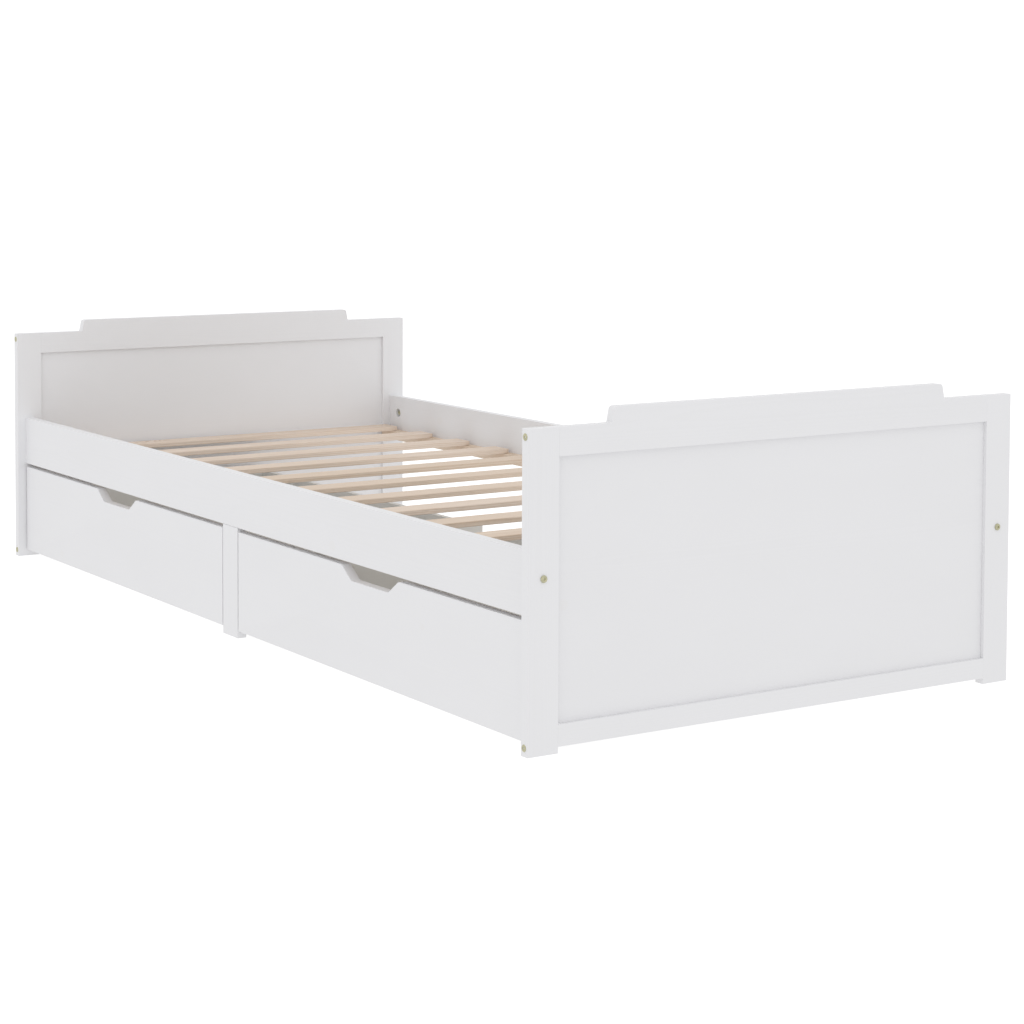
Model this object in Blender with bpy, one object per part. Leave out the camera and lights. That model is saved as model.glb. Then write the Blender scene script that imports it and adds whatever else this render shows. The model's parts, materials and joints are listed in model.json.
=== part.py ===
"""Single bed frame of painted pine boards with pine slats and two drawers that roll out on one side.

The origin is on the floor under the middle of the bed. +Z is up, +Y points to the head and the
drawers roll out towards -X. Everything is in metres.
"""
import math

import bmesh
import bpy
from mathutils import Matrix, Vector

# The lying space between the boards and between the side rails, for a 0.90 x 2.00 mattress.
INNER_LENGTH = 2.010
INNER_WIDTH = 0.907

# Timber.
BOARD = 0.018
PANEL = 0.005
EDGE_ROUND = 0.0010
TOUCH_GAP = 0.0003

# End boards, the same at head and foot.
POST_WIDTH = 0.055
POST_HEIGHT = 0.491
TOP_RAIL_HEIGHT = 0.044
BOTTOM_RAIL_HEIGHT = 0.034
BOTTOM_RAIL_LIFT = 0.010
GROOVE_DEPTH = 0.008
GROOVE_CLEARANCE = 0.0004
CREST_RISE = 0.025
CREST_INSET = 0.152
CREST_SLOPE = 0.005
CREST_CORNER_RADIUS = 0.006
CREST_FOOT_RADIUS = 0.002

# Drawers. The front's height sets how high the side rails sit above it.
DRAWER_LIFT = 0.014
DRAWER_FRONT_HEIGHT = 0.1835
DRAWER_TOP_GAP = 0.0075
DRAWER_SIDE_GAP = 0.003
DRAWER_DEPTH = 0.581
DRAWER_WALL = 0.012
DRAWER_WALL_TOP = 0.151
DRAWER_BOX_INSET = 0.012
DRAWER_BOTTOM = 0.008
NOTCH_TOP_WIDTH = 0.190
NOTCH_BOTTOM_WIDTH = 0.124
NOTCH_DEPTH = 0.023
NOTCH_RADIUS = 0.012
NOTCH_LIP_RADIUS = 0.010

# Side rails, ledgers, legs and slats.
RAIL_HEIGHT = 0.100
LEDGER_WIDTH = 0.022
LEDGER_HEIGHT = 0.021
LEG_WIDTH = 0.060
SLAT_COUNT = 13
SLAT_WIDTH = 0.055
SLAT_THICKNESS = 0.010
SLAT_END_GAP = 0.002
SLAT_SIDE_GAP = 0.012

# Castors under the drawers.
WHEEL_RADIUS = 0.015
WHEEL_WIDTH = 0.012
WHEEL_SIDE_GAP = 0.001
WHEEL_TOP_GAP = 0.003
AXLE_RADIUS = 0.003
AXLE_CLEARANCE = 0.00025
CHEEK = 0.003
CASTOR_PLATE = 0.003
CASTOR_PLATE_LENGTH = 0.044
CASTOR_PLATE_WIDTH = 0.034
CASTOR_INSET = 0.050

# Bolts through the posts into the ends of the side rails.
BOLT_RADIUS = 0.003
BOLT_CLEARANCE = 0.0005
BOLT_HEAD_RADIUS = 0.006
BOLT_HEAD_HEIGHT = 0.0025
HEX_SOCKET_RADIUS = 0.0023
HEX_SOCKET_DEPTH = 0.0018
BOLT_HEIGHT_ON_RAIL = 0.061
POCKET_RADIUS = 0.010
POCKET_DISTANCE = 0.040
POCKET_PAST_BOLT = 0.001
BOLT_PAST_POCKET = 0.004

# How finely round shapes are divided.
ARC_STEPS = 5
ROUND_SIDES = 24
WHEEL_SIDES = 28
WHEEL_SHOULDER_STEPS = 2
BEVEL_SEGMENTS = 1
CUTTER_MARGIN = 0.002

# Heights that follow from those above.
RAIL_INSET = (POST_WIDTH - BOARD) / 2
BED_WIDTH = INNER_WIDTH + 2 * (BOARD + RAIL_INSET)
BED_LENGTH = INNER_LENGTH + 2 * BOARD
RAIL_BOTTOM = DRAWER_LIFT + DRAWER_FRONT_HEIGHT + DRAWER_TOP_GAP
LEDGER_TOP = RAIL_BOTTOM + LEDGER_HEIGHT
BOLT_Z = RAIL_BOTTOM + BOLT_HEIGHT_ON_RAIL
RAIL_X = BED_WIDTH / 2 - RAIL_INSET - BOARD / 2
POCKET_DEPTH = BOARD / 2 + BOLT_RADIUS + BOLT_CLEARANCE + POCKET_PAST_BOLT
PANEL_BOTTOM = BOTTOM_RAIL_LIFT + BOTTOM_RAIL_HEIGHT
PANEL_TOP = POST_HEIGHT - TOP_RAIL_HEIGHT
RAIL_SPAN = BED_WIDTH - 2 * POST_WIDTH - 2 * TOUCH_GAP


def clear_scene():
    """Remove every object, mesh and material, so the model starts from nothing."""
    for item in list(bpy.data.objects):
        bpy.data.objects.remove(item, do_unlink=True)
    for collection in (bpy.data.meshes, bpy.data.materials):
        for item in list(collection):
            collection.remove(item)


def principled(name, colour, roughness, metallic=0.0):
    """One Principled material in a single colour."""
    material = bpy.data.materials.new(name)
    material.use_nodes = True
    shader = material.node_tree.nodes["Principled BSDF"]
    shader.inputs["Base Color"].default_value = (*colour, 1.0)
    shader.inputs["Roughness"].default_value = roughness
    shader.inputs["Metallic"].default_value = metallic
    material.diffuse_color = (*colour, 1.0)
    return material


def add_object(name, mesh, location, material=None, parent=None):
    """Put a mesh into the scene under its parent, with the parent's frame as its own."""
    item = bpy.data.objects.new(name, mesh)
    bpy.context.scene.collection.objects.link(item)
    item.location = location
    item.parent = parent
    if material:
        mesh.materials.append(material)
    return item


def round_edges(item, width=EDGE_ROUND, segments=BEVEL_SEGMENTS):
    """Take the sharpness off the edges between faces that meet at more than 40 degrees."""
    bevel = item.modifiers.new("rounded edges", "BEVEL")
    bevel.width = width
    bevel.segments = segments
    bevel.limit_method = "ANGLE"
    bevel.angle_limit = math.radians(40)


def box_mesh(name, size):
    """A box of the given size, centred on its own origin."""
    mesh = bpy.data.meshes.new(name)
    shape = bmesh.new()
    bmesh.ops.create_cube(shape, size=1.0)
    bmesh.ops.scale(shape, vec=size, verts=shape.verts)
    shape.to_mesh(mesh)
    shape.free()
    return mesh


def board(name, size, centre, material, parent=None):
    """A sawn board with rounded edges, centred on the given point."""
    item = add_object(name, box_mesh(name, size), centre, material, parent)
    round_edges(item)
    return item


def rounded_corner(before, corner, after, radius, steps=ARC_STEPS):
    """Points of the arc of the given radius that touches both sides of a corner."""
    before, corner, after = Vector(before), Vector(corner), Vector(after)
    towards_before = (before - corner).normalized()
    towards_after = (after - corner).normalized()
    half_angle = towards_before.angle(towards_after) / 2
    reach = radius / math.tan(half_angle)
    inwards = (towards_before + towards_after).normalized()
    centre = corner + inwards * (radius / math.sin(half_angle))
    start = corner + towards_before * reach - centre
    end = corner + towards_after * reach - centre
    sweep = start.angle_signed(end)
    points = []
    for step in range(steps + 1):
        turn = -sweep * step / steps
        points.append((centre.x + start.x * math.cos(turn) - start.y * math.sin(turn),
                       centre.y + start.x * math.sin(turn) + start.y * math.cos(turn)))
    return points


def rounded_outline(corners):
    """An outline from corners of (across, up, radius); a radius of nothing leaves the corner sharp."""
    points = []
    for index, (across, up, radius) in enumerate(corners):
        before = corners[index - 1][:2]
        after = corners[(index + 1) % len(corners)][:2]
        if radius:
            points += rounded_corner(before, (across, up), after, radius)
        else:
            points.append((across, up))
    return points


def outline_mesh(name, outline, thickness, thickness_axis):
    """Extrude an outline of (across, up) points by a thickness along X or Y, centred on the middle."""
    mesh = bpy.data.meshes.new(name)
    shape = bmesh.new()
    for across, up in outline:
        if thickness_axis == "Y":
            shape.verts.new((across, -thickness / 2, up))
        else:
            shape.verts.new((-thickness / 2, across, up))
    face = shape.faces.new(shape.verts)
    direction = Vector((0, thickness, 0)) if thickness_axis == "Y" else Vector((thickness, 0, 0))
    swept = bmesh.ops.extrude_face_region(shape, geom=[face])
    moved = [part for part in swept["geom"] if isinstance(part, bmesh.types.BMVert)]
    bmesh.ops.translate(shape, vec=direction, verts=moved)
    bmesh.ops.recalc_face_normals(shape, faces=shape.faces)
    shape.to_mesh(mesh)
    shape.free()
    return mesh


def turned_mesh(name, profile, sides, axis):
    """Turn a profile of (radius, along) points about X or Y; both ends of it lie on the axis."""
    mesh = bpy.data.meshes.new(name)
    shape = bmesh.new()
    verts = [shape.verts.new((radius, 0, along)) for radius, along in profile]
    edges = [shape.edges.new(pair) for pair in zip(verts, verts[1:])]
    bmesh.ops.spin(shape, geom=verts + edges, axis=(0, 0, 1), cent=(0, 0, 0),
                   angle=math.tau, steps=sides, use_merge=True)
    bmesh.ops.remove_doubles(shape, verts=shape.verts, dist=1e-6)
    quarter_turn = math.pi / 2 if axis == "X" else -math.pi / 2
    around = "Y" if axis == "X" else "X"
    bmesh.ops.transform(shape, matrix=Matrix.Rotation(quarter_turn, 4, around), verts=shape.verts)
    bmesh.ops.recalc_face_normals(shape, faces=shape.faces)
    shape.to_mesh(mesh)
    shape.free()
    mesh.shade_smooth()
    mesh.set_sharp_from_angle(angle=math.radians(35))
    return mesh


def box_cutter(low, high):
    """A box between two corners, to be cut out of a board."""
    low, high = Vector(low), Vector(high)
    return add_object("cutter", box_mesh("cutter", high - low), (low + high) / 2)


def rod_cutter(radius, start, length, axis):
    """A round rod of the given length that runs from its start towards + along X or Y."""
    profile = [(0, 0), (radius, 0), (radius, length), (0, length)]
    return add_object("cutter", turned_mesh("cutter", profile, ROUND_SIDES, axis), start)


def carve(item, cutters, operation="DIFFERENCE"):
    """Cut the cutters out of an object, or keep what it shares with them, and then drop the cutters."""
    for cutter in cutters:
        change = item.modifiers.new("cut", "BOOLEAN")
        change.operation = operation
        change.object = cutter
    bpy.context.view_layer.update()
    carved = bpy.data.meshes.new_from_object(item.evaluated_get(bpy.context.evaluated_depsgraph_get()))
    item.modifiers.clear()
    item.data = carved
    for cutter in cutters:
        bpy.data.objects.remove(cutter, do_unlink=True)
    return item


def post(name, side, end, material):
    """One post: a groove for the panel, and a hole for the side rail's bolt.

    side is -1 on the drawer side and +1 on the far side, end is -1 at the foot and +1 at the head.
    """
    x = side * (BED_WIDTH - POST_WIDTH) / 2
    y = end * (BED_LENGTH - BOARD) / 2
    item = board(name, (POST_WIDTH, BOARD, POST_HEIGHT), (x, y, POST_HEIGHT / 2), material)
    groove_half = PANEL / 2 + GROOVE_CLEARANCE
    inner_face = x - side * POST_WIDTH / 2
    across = sorted((inner_face + side * GROOVE_DEPTH, inner_face - side * CUTTER_MARGIN))
    groove = box_cutter((across[0], y - groove_half, PANEL_BOTTOM - GROOVE_DEPTH),
                        (across[1], y + groove_half, PANEL_TOP + GROOVE_DEPTH))
    hole = rod_cutter(BOLT_RADIUS + BOLT_CLEARANCE, (side * RAIL_X, y - BOARD / 2 - CUTTER_MARGIN, BOLT_Z),
                      BOARD + 2 * CUTTER_MARGIN, "Y")
    return carve(item, [groove, hole])


def top_rail_outline():
    """The top rail seen from the front: straight below, with a raised crest between sloping ends."""
    half = RAIL_SPAN / 2
    low = -TOP_RAIL_HEIGHT / 2
    high = TOP_RAIL_HEIGHT / 2
    crest_foot = BED_WIDTH / 2 - CREST_INSET
    crest_top = crest_foot - CREST_SLOPE
    return rounded_outline([
        (-half, low, 0), (half, low, 0), (half, high, 0),
        (crest_foot, high, CREST_FOOT_RADIUS), (crest_top, high + CREST_RISE, CREST_CORNER_RADIUS),
        (-crest_top, high + CREST_RISE, CREST_CORNER_RADIUS), (-crest_foot, high, CREST_FOOT_RADIUS),
        (-half, high, 0),
    ])


def top_rail(name, end, material):
    """The top rail between the posts, with a groove for the panel in its lower edge."""
    y = end * (BED_LENGTH - BOARD) / 2
    z = PANEL_TOP + TOP_RAIL_HEIGHT / 2
    mesh = outline_mesh(name, top_rail_outline(), BOARD, "Y")
    item = add_object(name, mesh, (0, y, z), material)
    round_edges(item)
    groove_half = PANEL / 2 + GROOVE_CLEARANCE
    groove = box_cutter((-BED_WIDTH / 2, y - groove_half, PANEL_TOP - CUTTER_MARGIN),
                        (BED_WIDTH / 2, y + groove_half, PANEL_TOP + GROOVE_DEPTH))
    return carve(item, [groove])


def bottom_rail(name, end, material):
    """The low rail between the posts, with a groove for the panel in its upper edge."""
    y = end * (BED_LENGTH - BOARD) / 2
    z = BOTTOM_RAIL_LIFT + BOTTOM_RAIL_HEIGHT / 2
    item = board(name, (RAIL_SPAN, BOARD, BOTTOM_RAIL_HEIGHT), (0, y, z), material)
    groove_half = PANEL / 2 + GROOVE_CLEARANCE
    groove = box_cutter((-BED_WIDTH / 2, y - groove_half, PANEL_BOTTOM - GROOVE_DEPTH),
                        (BED_WIDTH / 2, y + groove_half, PANEL_BOTTOM + CUTTER_MARGIN))
    return carve(item, [groove])


def end_panel(name, end, material):
    """The thin panel, held loosely in the grooves on all four sides."""
    reach = 2 * (GROOVE_DEPTH - GROOVE_CLEARANCE)
    size = (BED_WIDTH - 2 * POST_WIDTH + reach, PANEL, PANEL_TOP - PANEL_BOTTOM + reach)
    centre = (0, end * (BED_LENGTH - BOARD) / 2, (PANEL_TOP + PANEL_BOTTOM) / 2)
    return add_object(name, box_mesh(name, size), centre, material)


def end_board(name, end, material):
    """Head board or foot board: two posts, two rails and a panel."""
    post(f"{name}_near_post", -1, end, material)
    post(f"{name}_far_post", 1, end, material)
    top_rail(f"{name}_top_rail", end, material)
    bottom_rail(f"{name}_bottom_rail", end, material)
    end_panel(f"{name}_panel", end, material)


def side_rail(name, side, material):
    """A side rail with, near each end, a bolt hole in its end and a round pocket in its inner face."""
    x = side * RAIL_X
    length = INNER_LENGTH - 2 * TOUCH_GAP
    item = board(name, (BOARD, length, RAIL_HEIGHT), (x, 0, RAIL_BOTTOM + RAIL_HEIGHT / 2), material)
    inner_face = x - side * BOARD / 2
    pocket_start = inner_face - CUTTER_MARGIN if side > 0 else inner_face - POCKET_DEPTH
    cutters = []
    for end in (-1, 1):
        rail_end = end * INNER_LENGTH / 2
        pocket_y = rail_end - end * POCKET_DISTANCE
        hole_start = min(pocket_y, rail_end + end * CUTTER_MARGIN)
        cutters.append(rod_cutter(BOLT_RADIUS + BOLT_CLEARANCE, (x, hole_start, BOLT_Z),
                                  POCKET_DISTANCE + CUTTER_MARGIN, "Y"))
        cutters.append(rod_cutter(POCKET_RADIUS, (pocket_start, pocket_y, BOLT_Z),
                                  POCKET_DEPTH + CUTTER_MARGIN, "X"))
    return carve(item, cutters)


def slat_ledger(name, side, material):
    """The strip along a side rail's inner face that carries the slats' ends."""
    x = side * (INNER_WIDTH / 2 - TOUCH_GAP - LEDGER_WIDTH / 2)
    size = (LEDGER_WIDTH, INNER_LENGTH - 2 * TOUCH_GAP, LEDGER_HEIGHT)
    return board(name, size, (x, 0, RAIL_BOTTOM + LEDGER_HEIGHT / 2), material)


def centre_leg(name, side, material):
    """The short leg under the middle of a side rail, flush with the rail."""
    height = RAIL_BOTTOM - TOUCH_GAP
    return board(name, (BOARD, LEG_WIDTH, height), (side * RAIL_X, 0, height / 2), material)


def slats(material):
    """The slats, evenly spaced from board to board, numbered from the foot."""
    length = INNER_WIDTH - 2 * SLAT_SIDE_GAP
    first = -INNER_LENGTH / 2 + SLAT_END_GAP + SLAT_WIDTH / 2
    pitch = -2 * first / (SLAT_COUNT - 1)
    for index in range(SLAT_COUNT):
        centre = (0, first + pitch * index, LEDGER_TOP + TOUCH_GAP + SLAT_THICKNESS / 2)
        board(f"slat_{index + 1:02d}", (length, SLAT_WIDTH, SLAT_THICKNESS), centre, material)


def notched_front_mesh(name, width):
    """A drawer front with a finger notch that has sloping sides and rounded corners."""
    half = width / 2
    low = -DRAWER_FRONT_HEIGHT / 2
    high = DRAWER_FRONT_HEIGHT / 2
    lip = NOTCH_TOP_WIDTH / 2
    base = NOTCH_BOTTOM_WIDTH / 2
    outline = rounded_outline([
        (-half, low, 0), (half, low, 0), (half, high, 0),
        (lip, high, NOTCH_LIP_RADIUS), (base, high - NOTCH_DEPTH, NOTCH_RADIUS),
        (-base, high - NOTCH_DEPTH, NOTCH_RADIUS), (-lip, high, NOTCH_LIP_RADIUS),
        (-half, high, 0),
    ])
    return outline_mesh(name, outline, BOARD, "X")


def castor_housing_mesh():
    """A plate with two round-ended cheeks below it, bored for the wheel's axle.

    Its origin is on the axle. It is what a channel, seen from the front, and a plate with a
    tongue, seen from the side, have in common.
    """
    cheek_inside = WHEEL_WIDTH / 2 + WHEEL_SIDE_GAP
    cheek_outside = cheek_inside + CHEEK
    plate_low = WHEEL_RADIUS + WHEEL_TOP_GAP
    plate_high = plate_low + CASTOR_PLATE
    round_end = 2 * AXLE_RADIUS
    tongue_top = 3 * AXLE_RADIUS
    half_length = CASTOR_PLATE_LENGTH / 2
    half_width = CASTOR_PLATE_WIDTH / 2
    channel = [
        (-half_width, plate_low), (-cheek_outside, plate_low), (-cheek_outside, -round_end),
        (-cheek_inside, -round_end), (-cheek_inside, plate_low), (cheek_inside, plate_low),
        (cheek_inside, -round_end), (cheek_outside, -round_end), (cheek_outside, plate_low),
        (half_width, plate_low), (half_width, plate_high), (-half_width, plate_high),
    ]
    end_radius = round_end * 0.95
    tongue = rounded_outline([
        (-half_length, plate_high + CUTTER_MARGIN, 0), (-half_length, plate_low, 0),
        (-tongue_top, plate_low, 0), (-round_end, -round_end, end_radius),
        (round_end, -round_end, end_radius), (tongue_top, plate_low, 0),
        (half_length, plate_low, 0), (half_length, plate_high + CUTTER_MARGIN, 0),
    ])
    item = add_object("housing", outline_mesh("housing", channel, CASTOR_PLATE_LENGTH, "X"), (0, 0, 0))
    side_view = outline_mesh("cutter", tongue, CASTOR_PLATE_WIDTH + 2 * CUTTER_MARGIN, "Y")
    carve(item, [add_object("cutter", side_view, (0, 0, 0))], "INTERSECT")
    bore_length = 2 * (cheek_outside + CUTTER_MARGIN)
    carve(item, [rod_cutter(AXLE_RADIUS + AXLE_CLEARANCE, (0, -bore_length / 2, 0), bore_length, "Y")])
    mesh = item.data
    mesh.name = "castor_housing"
    bpy.data.objects.remove(item, do_unlink=True)
    return mesh


def wheel_mesh():
    """A wheel with rounded shoulders and a stub axle on each side, turned about Y."""
    half = WHEEL_WIDTH / 2
    axle_end = half + WHEEL_SIDE_GAP + CHEEK - GROOVE_CLEARANCE
    shoulder = WHEEL_WIDTH / 5
    quarter = [step / WHEEL_SHOULDER_STEPS * math.pi / 2 for step in range(WHEEL_SHOULDER_STEPS + 1)]
    inner_radius = WHEEL_RADIUS - shoulder
    inner_half = half - shoulder
    right = [(inner_radius + shoulder * math.cos(turn), inner_half + shoulder * math.sin(turn))
             for turn in quarter]
    left = [(radius, -along) for radius, along in reversed(right)]
    profile = [(0, -axle_end), (AXLE_RADIUS, -axle_end), (AXLE_RADIUS, -half), *left,
               *right, (AXLE_RADIUS, half), (AXLE_RADIUS, axle_end), (0, axle_end)]
    return turned_mesh("castor_wheel", profile, WHEEL_SIDES, "Y")


def castors(name, corners, housing, wheel, parent):
    """A fixed castor under each corner of a drawer: its housing, and its wheel on the axle."""
    for index, (x, y) in enumerate(corners, 1):
        add_object(f"{name}_castor_{index}", housing, (x, y, WHEEL_RADIUS), None, parent)
        add_object(f"{name}_wheel_{index}", wheel, (x, y, WHEEL_RADIUS), None, parent)


def drawer(name, end, housing, wheel, paint):
    """A drawer on castors. Its parent empty is on the floor, in the middle of its front's outer face."""
    near_y = LEG_WIDTH / 2 + DRAWER_SIDE_GAP
    far_y = INNER_LENGTH / 2 - DRAWER_SIDE_GAP
    width = far_y - near_y
    slide = bpy.data.objects.new(f"{name}_slide", None)
    bpy.context.scene.collection.objects.link(slide)
    slide.location = (-BED_WIDTH / 2 + RAIL_INSET, end * (near_y + far_y) / 2, 0)
    front_z = DRAWER_LIFT + DRAWER_FRONT_HEIGHT / 2
    front = add_object(f"{name}_front", notched_front_mesh(f"{name}_front", width),
                       (BOARD / 2, 0, front_z), paint, slide)
    round_edges(front)
    floor_z = 2 * WHEEL_RADIUS + WHEEL_TOP_GAP + CASTOR_PLATE + TOUCH_GAP
    wall_height = DRAWER_WALL_TOP - floor_z
    wall_z = floor_z + wall_height / 2
    wall_start = BOARD + TOUCH_GAP
    wall_length = DRAWER_DEPTH - wall_start
    wall_y = width / 2 - DRAWER_BOX_INSET - DRAWER_WALL / 2
    for label, side in (("foot_side", -1), ("head_side", 1)):
        board(f"{name}_{label}", (wall_length, DRAWER_WALL, wall_height),
              (wall_start + wall_length / 2, side * wall_y, wall_z), paint, slide)
    inside_width = 2 * (wall_y - DRAWER_WALL / 2 - TOUCH_GAP)
    board(f"{name}_back", (DRAWER_WALL, inside_width, wall_height),
          (DRAWER_DEPTH - DRAWER_WALL / 2, 0, wall_z), paint, slide)
    bottom_length = wall_length - DRAWER_WALL - TOUCH_GAP
    bottom_mesh = box_mesh(f"{name}_bottom", (bottom_length, inside_width, DRAWER_BOTTOM))
    add_object(f"{name}_bottom", bottom_mesh,
               (wall_start + bottom_length / 2, 0, floor_z + DRAWER_BOTTOM / 2), paint, slide)
    front_x = wall_start + CASTOR_INSET
    back_x = wall_start + bottom_length - CASTOR_INSET
    side_y = inside_width / 2 - CASTOR_INSET
    corners = [(x, y) for x in (front_x, back_x) for y in (-side_y, side_y)]
    castors(name, corners, housing, wheel, slide)


def rail_bolt_mesh():
    """A bolt with a low round head and a hexagon socket. Its origin is under the head, its shaft is +Y."""
    length = BOARD + POCKET_DISTANCE + BOLT_PAST_POCKET
    edge = BOLT_HEAD_HEIGHT / 4
    profile = [(0, -BOLT_HEAD_HEIGHT), (BOLT_HEAD_RADIUS - edge, -BOLT_HEAD_HEIGHT),
               (BOLT_HEAD_RADIUS, -BOLT_HEAD_HEIGHT + edge), (BOLT_HEAD_RADIUS, 0),
               (BOLT_RADIUS, 0), (BOLT_RADIUS, length - edge), (BOLT_RADIUS - edge, length), (0, length)]
    item = add_object("bolt", turned_mesh("bolt", profile, ROUND_SIDES, "Y"), (0, 0, 0))
    socket_profile = [(0, -CUTTER_MARGIN), (HEX_SOCKET_RADIUS, -CUTTER_MARGIN),
                      (HEX_SOCKET_RADIUS, HEX_SOCKET_DEPTH), (0, HEX_SOCKET_DEPTH)]
    socket = add_object("cutter", turned_mesh("cutter", socket_profile, 6, "Y"), (0, -BOLT_HEAD_HEIGHT, 0))
    carve(item, [socket])
    mesh = item.data
    mesh.name = "rail_bolt"
    bpy.data.objects.remove(item, do_unlink=True)
    return mesh


def rail_bolts(material):
    """A bolt through each post, its head on the board's outer face and its shaft towards the rail."""
    mesh = rail_bolt_mesh()
    mesh.materials.clear()
    mesh.materials.append(material)
    for end_name, end in (("foot", -1), ("head", 1)):
        for side_name, side in (("near", -1), ("far", 1)):
            place = (side * RAIL_X, end * (BED_LENGTH / 2 + TOUCH_GAP), BOLT_Z)
            bolt = add_object(f"rail_bolt_{end_name}_{side_name}", mesh, place)
            bolt.rotation_euler = (0, 0, math.pi if end > 0 else 0)


def build():
    """Make the whole bed."""
    clear_scene()
    paint = principled("white paint", (0.80, 0.80, 0.81), 0.45)
    pine = principled("natural pine", (0.66, 0.50, 0.35), 0.6)
    zinc = principled("yellow zinc", (0.60, 0.56, 0.33), 0.4, 1.0)
    castor_grey = principled("castor grey", (0.10, 0.10, 0.11), 0.5)
    wheel_grey = principled("wheel grey", (0.28, 0.28, 0.29), 0.55)
    end_board("foot", -1, paint)
    end_board("head", 1, paint)
    for name, side in (("near", -1), ("far", 1)):
        side_rail(f"side_rail_{name}", side, paint)
        slat_ledger(f"slat_ledger_{name}", side, pine)
        centre_leg(f"centre_leg_{name}", side, paint)
    slats(pine)
    housing = castor_housing_mesh()
    wheel = wheel_mesh()
    for mesh, material in ((housing, castor_grey), (wheel, wheel_grey)):
        mesh.materials.clear()
        mesh.materials.append(material)
    for name, end in (("drawer_foot", -1), ("drawer_head", 1)):
        drawer(name, end, housing, wheel, paint)
    rail_bolts(zinc)


build()
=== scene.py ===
# %% [markdown]
# # A white bed frame with two roll-out drawers
#
# This lesson dresses a single bed in its real finishes. The bed is made of flat pine boards: two end
# boards, two side rails, slats and two drawers on castors. A part in a library already says where each
# piece is and how the drawers move, so the lesson starts from that frame and never moves it. Every new
# piece is worked out in the same metres, with +Z up, +Y to the head and the drawers opening to -X.

import json
import math

import bpy
import numpy as np
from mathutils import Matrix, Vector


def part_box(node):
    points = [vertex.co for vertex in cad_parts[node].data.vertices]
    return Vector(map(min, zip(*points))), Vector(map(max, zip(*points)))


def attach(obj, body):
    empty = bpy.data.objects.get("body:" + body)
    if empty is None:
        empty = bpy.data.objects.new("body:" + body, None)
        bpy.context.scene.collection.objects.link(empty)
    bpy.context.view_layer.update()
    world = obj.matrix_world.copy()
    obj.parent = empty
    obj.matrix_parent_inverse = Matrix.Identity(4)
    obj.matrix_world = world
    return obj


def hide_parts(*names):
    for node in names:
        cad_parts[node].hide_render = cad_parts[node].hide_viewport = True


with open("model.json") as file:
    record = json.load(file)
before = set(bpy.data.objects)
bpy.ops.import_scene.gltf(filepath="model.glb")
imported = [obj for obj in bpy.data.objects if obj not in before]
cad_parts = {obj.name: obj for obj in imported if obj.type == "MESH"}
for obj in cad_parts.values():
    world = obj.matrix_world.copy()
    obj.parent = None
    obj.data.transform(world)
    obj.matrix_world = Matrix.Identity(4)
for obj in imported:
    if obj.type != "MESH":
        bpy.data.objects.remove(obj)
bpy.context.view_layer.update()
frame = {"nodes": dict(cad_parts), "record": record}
riding = {node: body for body, nodes in frame["record"]["behaviour"]["bodies"].items() for node in nodes}

# %% [markdown]
# ## The camera
#
# The bed is seen from its drawer side and its foot, from waist height, with a lens long enough to keep
# the far end from shrinking much. The upright edges stay nearly parallel because most of the
# downward framing is done by shifting the lens and not by tilting the camera, as with a view camera. What
# tilt is left is about three degrees, with a fifth of a degree of roll.

# %% Set up the camera
eye = bpy.data.objects.new("camera", bpy.data.cameras.new("camera"))
bpy.context.scene.collection.objects.link(eye)
eye.location = (-2.412, -3.919, 0.910)
eye.rotation_euler = (math.radians(90 - 3.07), math.radians(-0.22), math.radians(-32.64))
eye.data.lens = 83.41
eye.data.shift_x = 0.02
eye.data.shift_y = -0.235
eye.data.dof.use_dof = False
bpy.context.scene.camera = eye
print("camera at", tuple(round(v, 3) for v in eye.location))

# %% [markdown]
# ## Writing materials as sums
#
# A material is a graph of nodes, and a long one is hard to read when every node is made by hand. Here
# one small class wraps the output of a node, so that ordinary signs such as + and * add the Math nodes,
# and one method adds any other node. Colours and vectors have their own nodes, because a Math node
# would turn a colour grey.


# %% A wire that can be added and multiplied
class Wire:
    """The output of a node. Its operators add Math nodes, and a sum may start with a plain number."""

    def __init__(self, recipe, socket):
        self.recipe = recipe
        self.socket = socket

    def maths(self, operation, *others):
        """This value and the others through one Math node."""
        sockets = dict(enumerate((self, *others)))
        return self.recipe.add("ShaderNodeMath", {"operation": operation}, sockets)

    def __add__(self, other):
        return self.maths("ADD", other)

    __radd__ = __add__

    def __mul__(self, other):
        return self.maths("MULTIPLY", other)

    def __sub__(self, other):
        return self.maths("SUBTRACT", other)

    def __truediv__(self, other):
        return self.maths("DIVIDE", other)

    def __pow__(self, other):
        return self.maths("POWER", other)

    def step(self, start, end):
        """0 up to start, 1 from end on, and a smooth S in between; start may be the larger of the two."""
        settings = {"interpolation_type": "SMOOTHSTEP"}
        return self.recipe.add("ShaderNodeMapRange", settings, {0: self, 1: start, 2: end})


# %% [markdown]
# A wire needs a material to put its nodes in. The recipe is that material: it makes a node, sets it up and
# feeds its sockets in one call, and has short names for the few groups of nodes that come back often.


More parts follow.
